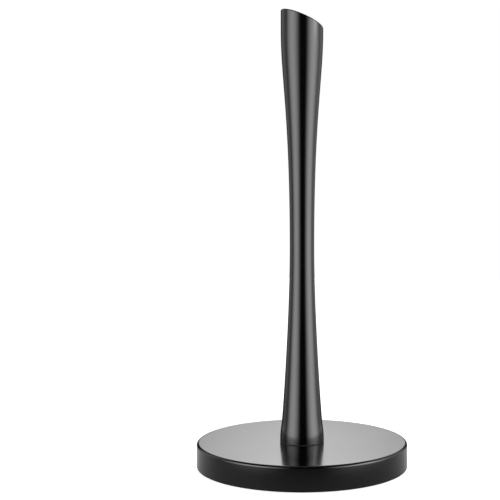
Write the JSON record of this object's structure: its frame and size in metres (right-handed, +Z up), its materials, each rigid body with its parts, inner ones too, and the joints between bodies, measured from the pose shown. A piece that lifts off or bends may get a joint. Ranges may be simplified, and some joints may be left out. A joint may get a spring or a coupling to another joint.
{
  "type": "paper towel holder",
  "caption": "Counter-top paper towel holder with a weighted round base and a slim waisted post cut at a slant on top.",
  "frame": {"origin": "centre of the underside of the non-slip pad, on the table", "axes": "+Z up along the post, -Y towards the front, +X to the right; the slanted top falls towards +X and a little towards +Y"},
  "size_m": [0.17, 0.17, 0.3666],
  "materials": {
    "satin_black": "satin black coat on sheet steel, fine even texture, soft reflections",
    "bare_steel": "bare turned and pressed steel with weld tint",
    "zinc_steel": "bright zinc plate, slightly dull",
    "iron": "rough grey casting",
    "moulded_black": "matt moulded plastic",
    "rubber": "matt black rubber"
  },
  "bodies": {
    "root": {"post_tube": "satin_black", "post_cap": "satin_black", "post_foot_plate": "bare_steel", "post_weld_nut": "bare_steel", "foot_gasket": "rubber", "base_cover": "satin_black", "weight_disc": "iron", "bottom_plate": "moulded_black", "non_slip_pad": "rubber", "clamp_bolt": "zinc_steel", "flat_washer": "zinc_steel", "spring_washer": "zinc_steel", "plate_screws": "zinc_steel"}
  },
  "joints": []
}
